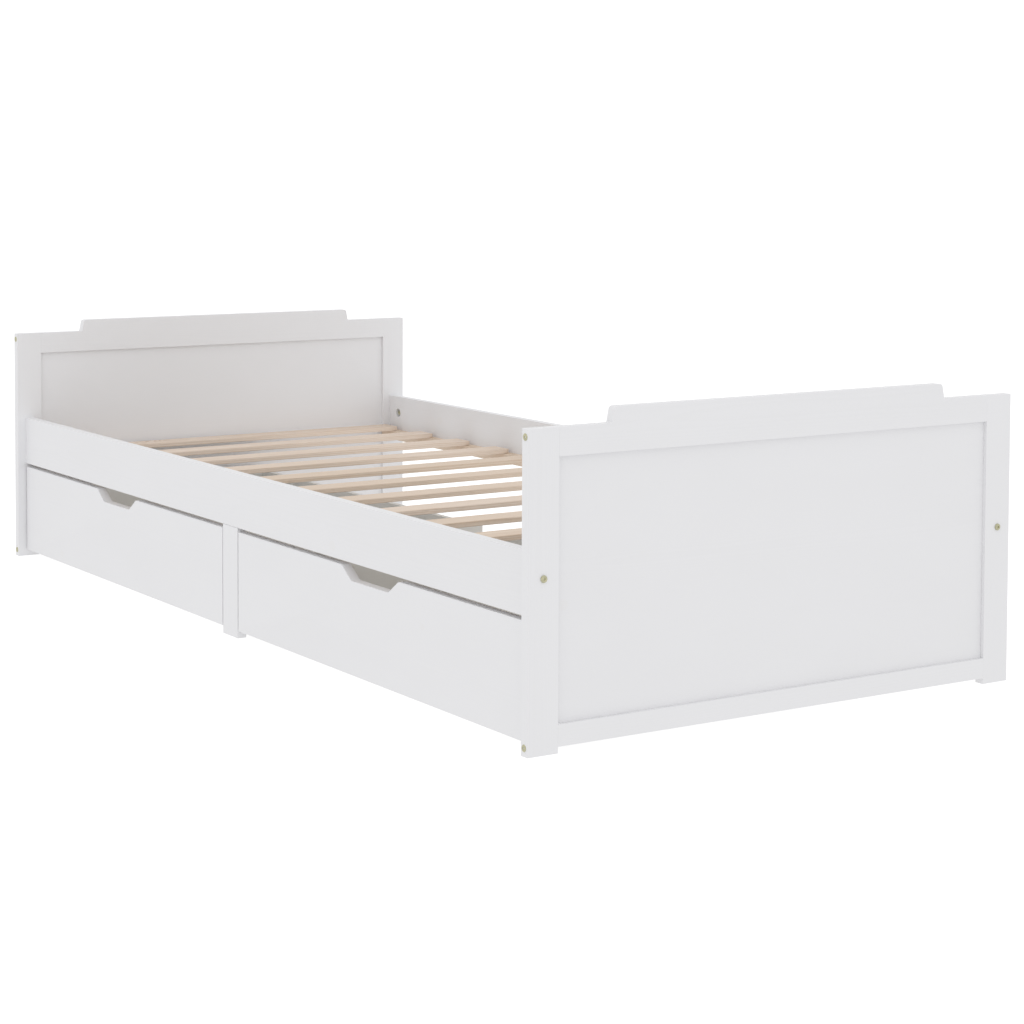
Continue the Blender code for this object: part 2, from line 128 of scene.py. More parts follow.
# %% A recipe that adds nodes
class Recipe:
    """A material in the making, with its node tree and its Principled shader."""

    def __init__(self, name):
        self.material = bpy.data.materials.new(name)
        self.material.use_nodes = True
        self.tree = self.material.node_tree
        self.shader = self.tree.nodes["Principled BSDF"]

    def add(self, kind, settings=None, sockets=None, out=0):
        """A node of this kind: first its settings, then the values or wires of its sockets."""
        node = self.tree.nodes.new(kind)
        for name, value in (settings or {}).items():
            setattr(node, name, value)
        for key, value in (sockets or {}).items():
            self.feed(node.inputs[key], value)
        return Wire(self, node.outputs[out])

    def feed(self, socket, value):
        """Give a socket its value: a wire is linked, a number or a colour is written in."""
        if isinstance(value, Wire):
            self.tree.links.new(value.socket, socket)
        else:
            socket.default_value = value

    def blend(self, share, first, second):
        """The first colour, turned into the second by the share, from 0 to 1."""
        return self.add("ShaderNodeMix", {"data_type": "RGBA"}, {0: share, 6: first, 7: second}, out=2)

    def noise(self, place, stretch, detail=3.0, roughness=0.5):
        """Cloudy noise, in places stretched by so many repeats a metre along each axis."""
        scaled = self.add("ShaderNodeVectorMath", {"operation": "MULTIPLY"}, {0: place, 1: stretch})
        sockets = {"Vector": scaled, "Scale": 1.0, "Detail": detail, "Roughness": roughness}
        return self.add("ShaderNodeTexNoise", {"noise_dimensions": "3D"}, sockets)

    def finish(self, bump, height, **sockets):
        """Link what is left to the shader, and turn a height in metres into the surface's relief."""
        relief = self.add("ShaderNodeBump", {}, {"Strength": bump, "Distance": 1.0, "Height": height})
        self.feed(self.shader.inputs["Normal"], relief)
        for name, value in sockets.items():
            self.feed(self.shader.inputs[name.replace("_", " ")], value)
        print(f"{self.material.name}: {len(self.tree.nodes)} nodes")
        return self.material


# %% [markdown]
# ## Where a board was in its tree
#
# The grain of a board is a cut through the rings of a trunk, so a pattern that knows where the board
# was in its tree gives flames on the flat face, fine lines on the edge and arcs on the end, and they
# all meet at the corners. Each board will carry an attribute called timber: the distance along the
# trunk, and the two distances from its pith. The materials read only that.
#
# A ring is light in spring and dark in late summer, and ends at a sharp line. Knots are branches, and
# the rings swerve round them.


# %% The rings and knots of a trunk
RING = 0.0030
RING_DRIFT = 0.016
KNOTS_PER_METRE = 4.2
KNOT_LEAST = 0.004
KNOT_SPREAD = 0.006
SWERVE = 0.010
SWERVE_REACH = 0.045
FIBRES_PER_METRE = 620.0


def growth(recipe):
    """Fibre, ring and knot, each from 0 to 1, at a point of the trunk.

    The ring is the fraction of (distance from the pith + a slow drift + a swerve by each knot) / RING,
    eased up slowly and cut off sharply. A knot is near a random point in the plane of the board.
    """
    timber = recipe.add("ShaderNodeAttribute", {"attribute_name": "timber"}, out=1)
    spread = recipe.add("ShaderNodeSeparateXYZ", {}, {0: timber})
    across = Wire(recipe, spread.socket.node.outputs[1])
    through = Wire(recipe, spread.socket.node.outputs[2])
    flat = recipe.add("ShaderNodeVectorMath", {"operation": "MULTIPLY"}, {0: timber, 1: (0.8, 1.0, 0.0)})
    cells = recipe.add("ShaderNodeTexVoronoi", {"voronoi_dimensions": "2D"},
                       {"Vector": flat, "Scale": KNOTS_PER_METRE})
    luck = recipe.add("ShaderNodeSeparateColor", {}, {0: Wire(recipe, cells.socket.node.outputs["Color"])})
    reach = cells / KNOTS_PER_METRE
    chosen = luck.step(0.70, 0.75)
    size = Wire(recipe, luck.socket.node.outputs[1]) * KNOT_SPREAD + KNOT_LEAST
    knot = (reach / size).step(1.15, 0.75) * chosen
    swerve = (reach / SWERVE_REACH).step(1.0, 0.0) * chosen
    drift = recipe.noise(timber, (1.6, 9.0, 9.0), detail=2.0) - 0.5
    pith = (across * across + through * through) ** 0.5
    phase = (pith + drift * RING_DRIFT + swerve * SWERVE) / RING
    ring = phase.maths("FRACT").step(0.25, 0.92) * phase.maths("FRACT").step(1.0, 0.93)
    fibre = recipe.noise(timber, (9.0, FIBRES_PER_METRE, FIBRES_PER_METRE), detail=4.0, roughness=0.65)
    return timber, fibre, ring, knot


print(f"a ring every {1000 * RING:.0f} mm, and {KNOTS_PER_METRE} cells a metre that may hold a knot")

# %% [markdown]
# ## Natural pine
#
# The slats and the strips they lie on are planed pine with no finish: pale and slightly pink, with soft
# tan lines where the late wood is, and a few brown knots. Two more attributes help. Tone is one number
# a board, because no two boards of a pack have the same colour, and arris is 1 on a board's rounded
# edges, where handling leaves the wood a little darker and smoother.


# %% Mix the natural pine
def natural_pine():
    """Pale wood with tan rings, brown knots and fine fibres, different from board to board."""
    recipe = Recipe("natural pine")
    timber, fibre, ring, knot = growth(recipe)
    tone = recipe.add("ShaderNodeAttribute", {"attribute_name": "tone"}, out=2)
    arris = recipe.add("ShaderNodeAttribute", {"attribute_name": "arris"}, out=2)
    pale = recipe.blend(tone, (0.785, 0.670, 0.575, 1.0), (0.730, 0.605, 0.490, 1.0))
    late = recipe.blend(tone, (0.665, 0.518, 0.398, 1.0), (0.610, 0.458, 0.330, 1.0))
    wood = recipe.blend(ring * 0.70, pale, late)
    streak = recipe.noise(timber, (3.0, 160.0, 160.0), detail=2.0)
    wood = recipe.blend(streak.step(0.50, 0.80) * 0.35, wood, (0.59, 0.46, 0.345, 1.0))
    wood = recipe.blend(fibre.step(0.35, 0.15) * 0.5, wood, (0.50, 0.37, 0.265, 1.0))
    wood = recipe.blend(knot * 0.75, wood, (0.36, 0.21, 0.12, 1.0))
    wood = recipe.blend(arris.step(0.2, 1.0) * 0.25, wood, (0.59, 0.46, 0.345, 1.0))
    rough = 0.62 + fibre * 0.16 - ring * 0.10 - knot * 0.15
    height = fibre * 0.00010 + ring * 0.00005 + knot * 0.00008
    return recipe.finish(0.6, height, Base_Color=wood, Roughness=rough)


PINE = natural_pine()

# %% [markdown]
# ## White paint over pine
#
# The frame and the drawers' fronts are sprayed satin white. A thin coat doesn't hide the wood:
# the rings stand up as faint ridges, the fibres show as fine lines in the gloss, and the knots let a
# little yellow through. On the rounded edges the coat is thinnest, so a trace of wood colour shows
# there. All of it is faint, and it is what tells painted wood from white plastic. The drawers' boxes
# get a darker and warmer copy of the white, which is painted shade for the dim inside of a drawer.


# %% Mix the white paint
def painted(name, white, cloudy):
    """A white coat with the grain's relief, a hint of the knots, and thin spots on the edges."""
    recipe = Recipe(name)
    timber, fibre, ring, knot = growth(recipe)
    arris = recipe.add("ShaderNodeAttribute", {"attribute_name": "arris"}, out=2)
    cloud = recipe.noise(timber, (5.0, 11.0, 11.0), detail=4.0)
    coat = recipe.blend(cloud.step(0.3, 0.7), white, cloudy)
    coat = recipe.blend(ring * 0.10, coat, (0.76, 0.758, 0.765, 1.0))
    coat = recipe.blend(fibre.step(0.42, 0.20) * 0.16, coat, (0.70, 0.698, 0.70, 1.0))
    coat = recipe.blend(knot * 0.10, coat, (0.76, 0.73, 0.67, 1.0))
    worn = arris.step(0.45, 1.0) * recipe.noise(timber, (60.0, 60.0, 60.0), detail=5.0).step(0.45, 0.70)
    coat = recipe.blend(worn * 0.30, coat, (0.72, 0.68, 0.62, 1.0))
    spray = recipe.noise(timber, (420.0, 420.0, 420.0), detail=2.0)
    rough = 0.40 + cloud * 0.08 + fibre * 0.12 + worn * 0.15
    height = fibre * 0.00003 + ring * 0.000012 + spray * 0.00002
    return recipe.finish(0.55, height, Base_Color=coat, Roughness=rough)


PAINT = painted("white paint", (0.822, 0.821, 0.837, 1.0), (0.815, 0.814, 0.829, 1.0))
# A darker, warmer copy of the white paint: painted shade for the inside of the closed drawers.
SHADED_WHITE = painted("white paint with painted shade", (0.712, 0.706, 0.680, 1.0), (0.697, 0.691, 0.664, 1.0))

# %% [markdown]
# ## Metal and plastic
#
# The bolts have a yellow passivated zinc coat, which is why they look olive gold: it is a thin film, so
# its colour wanders between gold, green and pink, and it is dull where it has been handled. The castors
# are moulded: dark housings with the fine pitting of a textured mould, and grey wheels of a softer
# plastic that pick up scuffs on their running surface.


# %% Mix the zinc and the two plastics
def object_place(recipe):
    """The point on the piece in metres, which for a piece at the origin is its place in the bed."""
    return recipe.add("ShaderNodeTexCoord", out=3)


def yellow_zinc():
    """Olive gold metal whose film changes colour over a few millimetres."""
    recipe = Recipe("yellow zinc")
    place = object_place(recipe)
    film = recipe.noise(place, (260.0, 260.0, 260.0), detail=3.0)
    metal = recipe.blend(film.step(0.35, 0.65), (0.60, 0.57, 0.39, 1.0), (0.51, 0.50, 0.34, 1.0))
    metal = recipe.blend(film.step(0.60, 0.75) * 0.5, metal, (0.58, 0.51, 0.41, 1.0))
    scratch = recipe.noise(place, (900.0, 900.0, 2600.0), detail=3.0)
    rough = 0.34 + scratch * 0.22
    recipe.shader.inputs["Metallic"].default_value = 1.0
    return recipe.finish(0.5, scratch * 0.00002, Base_Color=metal, Roughness=rough)


def moulded_plastic(name, dark, light, roughness, pitting):
    """Moulded plastic with fine pits and a cloudy bloom."""
    recipe = Recipe(name)
    place = object_place(recipe)
    bloom = recipe.noise(place, (90.0, 90.0, 90.0), detail=4.0)
    pits = recipe.noise(place, (1900.0, 1900.0, 1900.0), detail=2.0)
    colour = recipe.blend(bloom.step(0.3, 0.75), dark, light)
    rough = roughness + bloom * 0.12 + pits * 0.08
    return recipe.finish(0.5, pits * pitting, Base_Color=colour, Roughness=rough)


ZINC = yellow_zinc()
HOUSING = moulded_plastic("castor housing", (0.020, 0.020, 0.022, 1.0), (0.034, 0.034, 0.037, 1.0),
                          0.38, 0.00004)
TYRE = moulded_plastic("castor wheel", (0.19, 0.19, 0.20, 1.0), (0.27, 0.27, 0.28, 1.0), 0.46, 0.00003)

# %% [markdown]
# ## Rounded outlines
#
# Nearly everything here is a flat board, and a board is an outline with a thickness. An outline is given
# as its corners, each with a radius. The corner of the real piece is an arc that touches both sides, and
# because the arc's centre is known, each point's outward direction is known too. Working that out for
# all corners at once, as whole arrays, keeps the curve exact.


# %% Turn corners into an outline
def unit(vectors):
    """Each row of an array at length 1."""
    return vectors / np.linalg.norm(vectors, axis=-1, keepdims=True)


def outline(corners, steps=4):
    """Points and outward directions of a closed outline whose corners are (across, up, radius).

    The corners run anticlockwise, and a corner may also be a mere point on a straight side. The arc's
    centre is on the line that halves the corner, at radius / cos(half the turn), and its points are
    the centre + radius * the outward direction, or minus it where the outline turns inwards.
    """
    corners = np.asarray(corners, float)
    here, radius = corners[:, :2], corners[:, 2]
    arriving = unit(here - np.roll(here, 1, axis=0))
    leaving = unit(np.roll(here, -1, axis=0) - here)
    cross = arriving[:, 0] * leaving[:, 1] - arriving[:, 1] * leaving[:, 0]
    turn = np.arctan2(cross, (arriving * leaving).sum(axis=1))
    turn = np.where(np.abs(turn) < 1e-9, 0.0, turn)
    start = np.arctan2(-arriving[:, 0], arriving[:, 1])
    middle = np.stack([np.cos(start + turn / 2), np.sin(start + turn / 2)], axis=-1)
    centre = here - (np.sign(turn) * radius / np.cos(turn / 2))[:, None] * middle
    angle = start[:, None] + turn[:, None] * np.linspace(0, 1, steps + 1)
    outward = np.stack([np.cos(angle), np.sin(angle)], axis=-1)
    points = centre[:, None] + (np.sign(turn) * radius)[:, None, None] * outward
    return points.reshape(-1, 2), outward.reshape(-1, 2)


def rectangle(width, height, radius):
    """The four corners of a rectangle about the origin, anticlockwise."""
    half = np.array([[-1, -1], [1, -1], [1, 1], [-1, 1]]) * [width / 2, height / 2]
    return np.column_stack([half, np.broadcast_to(radius, 4)])


test_points, _ = outline(rectangle(2.0, 1.0, 0.1))
print(f"a rectangle of 4 corners has {len(test_points)} points")

# %% [markdown]
# ## Boards with eased edges
#
# A joiner runs a small round over every edge, because a sharp edge hurts and paint won't stay on it. To
# make one, the outline is carried through the thickness as a stack of rings. Near each face the rings
# follow a quarter circle: they draw in while they rise. The two ends are closed by one flat face each.


# %% Carry an outline through a thickness
def skin(count, around):
    """The faces of a stack of closed rings: quads between neighbours, and one face over each end."""
    ring = np.arange(count - 1)[:, None] * around
    point = np.arange(around)[None, :]
    after = (point + 1) % around
    quads = np.stack([ring + point, ring + after, ring + around + after, ring + around + point], axis=-1)
    lid = (count - 1) * around + np.arange(around)
    return [*quads.reshape(-1, 4).tolist(), np.arange(around)[::-1].tolist(), lid.tolist()]


def slab(corners, thickness, ease, steps=4):
    """Points, directions and faces of a board about the origin, with its thickness along the third axis.

    At the angle a of the quarter circle the outline moves in by ease * (1 - cos a), its height is
    thickness / 2 - ease + ease * sin a, and its direction leans from sideways to straight up by a. Ease
    is one radius for the whole board, or one for each corner, and changes evenly in between.
    """
    around, outward = outline(corners, steps)
    ease = np.repeat(np.broadcast_to(ease, len(corners)), steps + 1)[None, :, None]
    quarter = np.linspace(0, np.pi / 2, steps + 1)
    lean = np.concatenate([-quarter[::-1], quarter])[:, None, None]
    side = np.repeat([-1.0, 1.0], steps + 1)[:, None, None]
    flat = around[None] - ease * (1 - np.cos(lean)) * outward[None]
    height = side * (thickness / 2 - ease) + ease * np.sin(lean)
    points = np.concatenate([flat, height], axis=-1)
    directions = np.concatenate([np.cos(lean) * outward[None], np.sin(lean) + 0 * height], axis=-1)
    return points.reshape(-1, 3), directions.reshape(-1, 3), skin(len(lean), len(around))


plank = slab(rectangle(0.06, 0.2, 0.001), 0.018, 0.001)
print(f"a plain board has {len(plank[0])} points and {len(plank[2])} faces")

# %% [markdown]
# ## From numbers to a piece of the bed
#
# A slab lies flat, so its axes are swapped to stand it up. Then it becomes a mesh object, gets its
# material and rides on the body of the node that it stands for. The direction of every point is known
# from the formula, so it is handed to the mesh, and the flat faces shade perfectly flat next to the
# rounded edges.
#
# The timber attribute is worked out here as well: the longest side of a board runs along the trunk, and
# the board is put at its own place beside the pith, so that no two boards have the same grain.

# %% Stand a slab up and give it its grain
STANDING = {
    "XZ": np.array([[1, 0, 0], [0, 0, 1], [0, -1, 0]], float),
    "YZ": np.array([[0, 1, 0], [0, 0, 1], [1, 0, 0]], float),
    "XY": np.eye(3),
}
boards_cut = []


def remember(mesh, name, values, kind="FLOAT", field="value", domain="POINT"):
    """Write one value for each point, or each corner of a face, into a mesh attribute."""
    layer = mesh.attributes.new(name, kind, domain)
    layer.data.foreach_set(field, np.ascontiguousarray(values, np.float32).ravel())


def read_rows(items, field):
    """A list of vectors that belongs to a mesh, as one array."""
    flat = np.zeros(len(items) * 3, np.float32)
    items.foreach_get(field, flat)
    return flat.reshape(-1, 3).astype(float)


def add_grain(piece):
    """Give a board its place in the trunk, its tone, and the mark of its rounded edges.

    Timber is the point in the order longest, middle and shortest side, about the board's middle, plus
    the board's own place in the trunk. Arris is (1 - the largest part of the direction) / (1 - cos 45):
    0 where the surface faces along an axis and 1 at 45 degrees. It belongs to the corners of the faces,
    because at a cut edge a flat face and its neighbour share a point but not a direction.
    """
    points = read_rows(piece.data.vertices, "co")
    low, high = points.min(axis=0), points.max(axis=0)
    order = np.argsort(low - high)
    own = np.random.default_rng(1000 + len(boards_cut))
    place = own.uniform([3.0, -0.045, 0.014], [60.0, 0.045, 0.060])
    remember(piece.data, "timber", (points - (low + high) / 2)[:, order] + place, "FLOAT_VECTOR", "vector")
    remember(piece.data, "tone", np.full(len(points), own.uniform()))
    facing = read_rows(piece.data.corner_normals, "vector")
    arris = (1 - np.abs(facing).max(axis=1)) / (1 - math.sqrt(0.5))
    remember(piece.data, "arris", np.clip(arris, 0, 1), domain="CORNER")
    boards_cut.append(piece.name)


def make_mesh(name, points, faces):
    """An object at the origin with these points and faces, smoothly shaded."""
    mesh = bpy.data.meshes.new(name)
    mesh.from_pydata(points.tolist(), [], faces)
    mesh.shade_smooth()
    piece = bpy.data.objects.new(name, mesh)
    bpy.context.scene.collection.objects.link(piece)
    return piece


def fit(piece, node, material, stands_for=True):
    """Give a piece its finish, and let it ride on a node's body and stand for that node."""
    piece.data.materials.clear()
    piece.data.materials.append(material)
    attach(piece, riding[node])
    if stands_for:
        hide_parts(node)
    return piece


print("a board can stand in", list(STANDING))

# %% [markdown]
# ## Cutting into a board
#
# Most edges are eased by less than a millimetre, but where two boards meet in one face they are sanded
# flush and painted over, so those edges stay crisp and the joint is a hairline. The frame leaves a small
# gap between its pieces, and a board that ends in such a joint is made long enough to close it.
#
# Grooves, bolt holes and round pockets are cut as they would be in the workshop, by taking a cutter away
# from the board. Blender's Boolean modifier does that. It makes new points, so the directions from the
# formula no longer fit, and a Weighted Normal modifier works them out again: the big flat faces win over
# the small round ones. Both modifiers are applied, so the finished piece is a plain mesh.


# %% Cut, and settle the shading
EASED = 0.0007
CRISP = 0.0003
HAIRLINE = 0.00012
TO_MEET = 0.00025


def settle(piece):
    """Apply a piece's modifiers by keeping the mesh that they make."""
    seen = piece.evaluated_get(bpy.context.evaluated_depsgraph_get())
    finished = bpy.data.meshes.new_from_object(seen)
    piece.modifiers.clear()
    piece.data = finished


def cut(piece, cutters):
    """Take the cutters out of a piece and shade its flat faces flat."""
    for cutter in cutters:
        change = piece.modifiers.new("cut", "BOOLEAN")
        change.operation = "DIFFERENCE"
        change.object = cutter
    settle(piece)
    for cutter in cutters:
        bpy.data.objects.remove(cutter, do_unlink=True)
    piece.data.shade_smooth()
    piece.data.set_sharp_from_angle(angle=math.radians(50))
    shading = piece.modifiers.new("shading", "WEIGHTED_NORMAL")
    shading.keep_sharp = True
    settle(piece)


def sides_of(node, standing):
    """A node's size across, up and through, as its board lies flat."""
    low, high = (np.array(corner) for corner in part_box(node))
    return np.abs(STANDING[standing] @ (high - low)).tolist()


def board(node, standing, material, ease=EASED, corners=None, cutters=()):
    """A board in the box of its node, with its edges eased and its cuts made.

    The corners are about the middle of the node's box. Without them the board is the box itself.
    """
    low, high = (np.array(corner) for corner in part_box(node))
    axes = STANDING[standing]
    across, up, thick = sides_of(node, standing)
    if corners is None:
        corners = rectangle(across, up, ease)
    points, directions, faces = slab(corners, thick, ease)
    piece = make_mesh(f"{node}_board", points @ axes + (low + high) / 2, faces)
    if cutters:
        cut(piece, cutters)
    else:
        piece.data.normals_split_custom_set_from_vertices((directions @ axes).tolist())
    add_grain(piece)
    return fit(piece, node, material)


def box_cutter(low, high, clearance):
    """A box to be cut out, grown on every side by a clearance."""
    low, high = np.array(low) - clearance, np.array(high) + clearance
    points, _, faces = slab(rectangle(*(high - low)[:2], 1e-5), (high - low)[2], 1e-5, steps=1)
    return make_mesh("cutter", points + (low + high) / 2, faces)


print(f"edges eased by {1000 * EASED} mm, and by {1000 * CRISP} mm where boards meet")

# %% [markdown]
# ## Turned pieces
#
# Bolts, nuts, wheels and round cutters are turned on a lathe: a half section is spun about its axis. The
# same outline function gives the half section with its small rounds, and the same skin function closes
# the stack of rings. A hexagon socket is a ring whose radius follows
# cos 30 / cos(angle within its sixth), which is the shape of a spanner flat.


# %% Spin a half section
def across_flats(angle):
    """The radius of a hexagon with corners at radius 1, in the direction of an angle."""
    return math.cos(math.pi / 6) / np.cos(np.mod(angle, math.pi / 3) - math.pi / 6)


def turned(name, section, place, axis, sides=48, steps=3, socket=0.0):
    """A turned piece from a half section of (radius, along, round) corners, about an axis through a place.

    A point at angle t of the section's point (r, l) is (r cos t, r sin t, l) in the lathe's frame. Rings
    in the head of radius up to the socket's are hexagons.
    """
    half, _ = outline(section, steps)
    half = half[half[:, 0] > 1e-6]
    angle = np.linspace(0, 2 * np.pi, sides, endpoint=False)
    hexed = (half[:, 0] < socket * 1.02) & (half[:, 1] > 0)
    radius = half[:, :1] * np.where(hexed[:, None], across_flats(angle)[None], 1.0)
    along = np.broadcast_to(half[:, 1:], radius.shape)
    points = np.stack([radius * np.cos(angle), radius * np.sin(angle), along], axis=-1).reshape(-1, 3)
    third = unit(np.array(axis, float))
    first = unit(np.cross([0.0, 0.0, 1.0], third)) if abs(third[2]) < 0.9 else np.array([1.0, 0.0, 0.0])
    lathe = np.stack([first, np.cross(third, first), third])
    piece = make_mesh(name, points @ lathe + np.array(place), skin(len(half), sides))
    piece.data.set_sharp_from_angle(angle=math.radians(40))
    return piece


def rod(radius, start, axis, length):
    """A round cutter from a start along an axis."""
    section = [(0, 0, 1e-6), (radius, 0, 1e-6), (radius, length, 1e-6), (0, length, 1e-6)]
    return turned("cutter", section, start, axis, steps=1)


print("a hexagon's flat is at", round(float(across_flats(np.pi / 6)), 3), "of its corner")

# %% [markdown]
# ## The end boards
#
# Head and foot are the same: two posts, a top rail that rises to a crest, a bottom rail, and a thin panel
# that sits in a groove on all four sides, so that it can swell and shrink with the weather. The groove
# is a real one, cut to the panel's own size plus a clearance, and the soft line round the panel is the
# shade in that corner.

# %% Make the posts, rails and panels
PANEL_PLAY = 0.0001
BOLT_HOLE = 0.0035
NEAR_CORNER = 0.01
CREST_RISE = 0.025
CREST_FOOT = 0.338
CREST_TOP = 0.333


def bolt_axis(node):
    """The middle of a rail bolt seen along the bed, and the length that it spans."""
    low, high = (np.array(corner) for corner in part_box(node))
    return (low + high) / 2, high[1] - low[1]


def mirrored(right):
    """The corners of a symmetrical outline from those of its right half."""
    return right + [(-across, up, radius) for across, up, radius in reversed(right)]


def crest_corners(node):
    """The top rail's corners: straight below, and above it a crest with short steep ends."""
    half, top = (side / 2 for side in sides_of(node, "XZ")[:2])
    half, shoulder = half + TO_MEET, top - CREST_RISE
    return mirrored([(half, -top, HAIRLINE), (half, shoulder, HAIRLINE), (half - NEAR_CORNER, shoulder, 0),
                     (CREST_FOOT, shoulder, 0.002), (CREST_TOP, top, 0.006)])


def rail_corners(node, standing):
    """A rail's corners, with a point near each so that only the ends stay crisp."""
    half, top = (side / 2 for side in sides_of(node, standing)[:2])
    half = half + TO_MEET
    return mirrored([(half - NEAR_CORNER, -top, 0), (half, -top, HAIRLINE), (half, top, HAIRLINE),
                     (half - NEAR_CORNER, top, 0)])


for end in ("foot", "head"):
    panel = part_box(f"{end}_panel")
    for side in ("near", "far"):
        middle, span = bolt_axis(f"rail_bolt_{end}_{side}")
        hole = rod(BOLT_HOLE, middle - [0, span, 0], (0, 1, 0), 2 * span)
        left, right = (EASED, HAIRLINE) if side == "near" else (HAIRLINE, EASED)
        board(f"{end}_{side}_post", "XZ", PAINT, ease=[left, right, right, left],
              cutters=[box_cutter(*panel, PANEL_PLAY), hole])
    board(f"{end}_top_rail", "XZ", PAINT, corners=crest_corners(f"{end}_top_rail"),
          ease=[HAIRLINE, HAIRLINE, *[EASED] * 6, HAIRLINE, HAIRLINE],
          cutters=[box_cutter(*panel, PANEL_PLAY)])
    board(f"{end}_bottom_rail", "XZ", PAINT, ease=[CRISP, HAIRLINE, HAIRLINE, CRISP] * 2,
          corners=rail_corners(f"{end}_bottom_rail", "XZ"), cutters=[box_cutter(*panel, PANEL_PLAY)])
    board(f"{end}_panel", "XZ", PAINT, ease=CRISP)
print("boards so far:", boards_cut)

# %% [markdown]
# ## Side rails, ledgers and legs
#
# The rails hold the end boards together. A bolt goes through each post into the rail's end, and a nut
# waits for it in a round pocket, bored into the rail's inner face with a wide flat bit. The pocket stays
# open on the real bed, so it is cut here too. The slats lie on a strip of bare pine along each rail.

# %% Make the rails with their pockets
POCKET = 0.010
POCKET_FLOOR = 0.0045
POCKET_FROM_END = 0.040
OVERSHOOT = 0.01
BIT_LENGTH = 0.030

for side, sign in (("near", -1), ("far", 1)):
    low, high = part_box(f"side_rail_{side}")
    floor_x = (low.x + POCKET_FLOOR) if sign < 0 else (high.x - POCKET_FLOOR)
    cutters = []
    for end in ("foot", "head"):
        middle, span = bolt_axis(f"rail_bolt_{end}_{side}")
        inward = 1 if end == "foot" else -1
        end_y = low.y if end == "foot" else high.y
        cutters.append(rod(BOLT_HOLE, (middle[0], end_y - OVERSHOOT * inward, middle[2]), (0, inward, 0),
                           POCKET_FROM_END + OVERSHOOT))
        cutters.append(rod(POCKET, (floor_x, end_y + POCKET_FROM_END * inward, middle[2]),
                           (-sign, 0, 0), BIT_LENGTH))
    board(f"side_rail_{side}", "YZ", PAINT, cutters=cutters,
          corners=rail_corners(f"side_rail_{side}", "YZ"), ease=[EASED, HAIRLINE, HAIRLINE, EASED] * 2)
    board(f"slat_ledger_{side}", "XY", PINE)
    board(f"centre_leg_{side}", "YZ", PAINT, ease=[EASED, EASED, CRISP, CRISP])
print(f"pockets of {2000 * POCKET:.0f} mm, {1000 * POCKET_FROM_END:.0f} mm from the rail's ends")

# %% [markdown]
# ## Slats
#
# Thirteen loose slats of planed pine carry the mattress. They are cut from many boards, so every slat has
# its own tone, rings and knots, which the grain step already sees to. Their edges are rounded a little
# more than the frame's.

# %% Lay the slats
SLAT_EASE = 0.0016

slat_nodes = sorted(node for node in frame["nodes"] if node.startswith("slat_") and node[-1].isdigit())
for node in slat_nodes:
    board(node, "XY", PINE, ease=SLAT_EASE)
print(f"{len(slat_nodes)} slats")

# %% [markdown]
# ## Drawers
#
# A drawer is a plain box behind a thick front. The front has no handle but a finger notch in its top
# edge, with sloping sides and rounded corners, cut with a router. The box's sides, back and bottom have
# the darker copy of the white paint, whose colour is a painted shade.

# %% Make the drawers
NOTCH_LIP = 0.095
NOTCH_BASE = 0.062
NOTCH_DEEP = 0.023
NOTCH_LIP_ROUND = 0.010
NOTCH_BASE_ROUND = 0.012


def front_corners(node):
    """A drawer front's corners, with the notch in the middle of the top edge."""
    half, top = (side / 2 for side in sides_of(node, "YZ")[:2])
    return mirrored([(half, -top, EASED), (half, top, EASED), (NOTCH_LIP, top, NOTCH_LIP_ROUND),
                     (NOTCH_BASE, top - NOTCH_DEEP, NOTCH_BASE_ROUND)])


for drawer in ("drawer_foot", "drawer_head"):
    board(f"{drawer}_front", "YZ", PAINT, corners=front_corners(f"{drawer}_front"))
    # The box's pieces take the darker copy of the white, a painted shade for the inside of the drawer.
    board(f"{drawer}_back", "YZ", SHADED_WHITE)
    board(f"{drawer}_foot_side", "XZ", SHADED_WHITE)
    board(f"{drawer}_head_side", "XZ", SHADED_WHITE)
    board(f"{drawer}_bottom", "XY", SHADED_WHITE, ease=CRISP)
print(f"{len(boards_cut)} boards in all")

# %% [markdown]
# ## Bolts, nuts and post bolts
#
# A furniture bolt has a low round head with a hexagon socket. Four of them hold the side rails, and their
# heads stand on the posts' outer faces. Two more go into each post from its outer edge, near the top and
# near the foot, and pull the top and bottom rails tight, with their heads half sunk in the wood. In each
# rail pocket a barrel nut takes the bolt.

# %% Turn the bolts and nuts
HEAD = 0.0056
HEAD_HIGH = 0.0022
SHAFT = 0.003
SOCKET = 0.0020
SOCKET_DEEP = 0.0012
SUNK = 0.0012
BOLT_SEAT = 0.0003
FRAME_HEAD = 0.0025
POST_BOLT_SHAFT = 0.006
POST_BOLT_UP = 0.0135
POST_BOLT_DOWN = 0.0125


def bolt_section(shaft_length):
    """The half section of a bolt, from the tip of its shaft to the floor of its socket."""
    floor = HEAD_HIGH - SOCKET_DEEP
    return [(0, -shaft_length, 1e-6), (SHAFT, -shaft_length, 0.0006), (SHAFT, 0, 0.0002),
            (HEAD, 0, 0.0003), (HEAD, HEAD_HIGH, 0.0009), (SOCKET, HEAD_HIGH, 0.00025),
            (SOCKET, floor, 0.0001), (0, floor, 1e-6)]


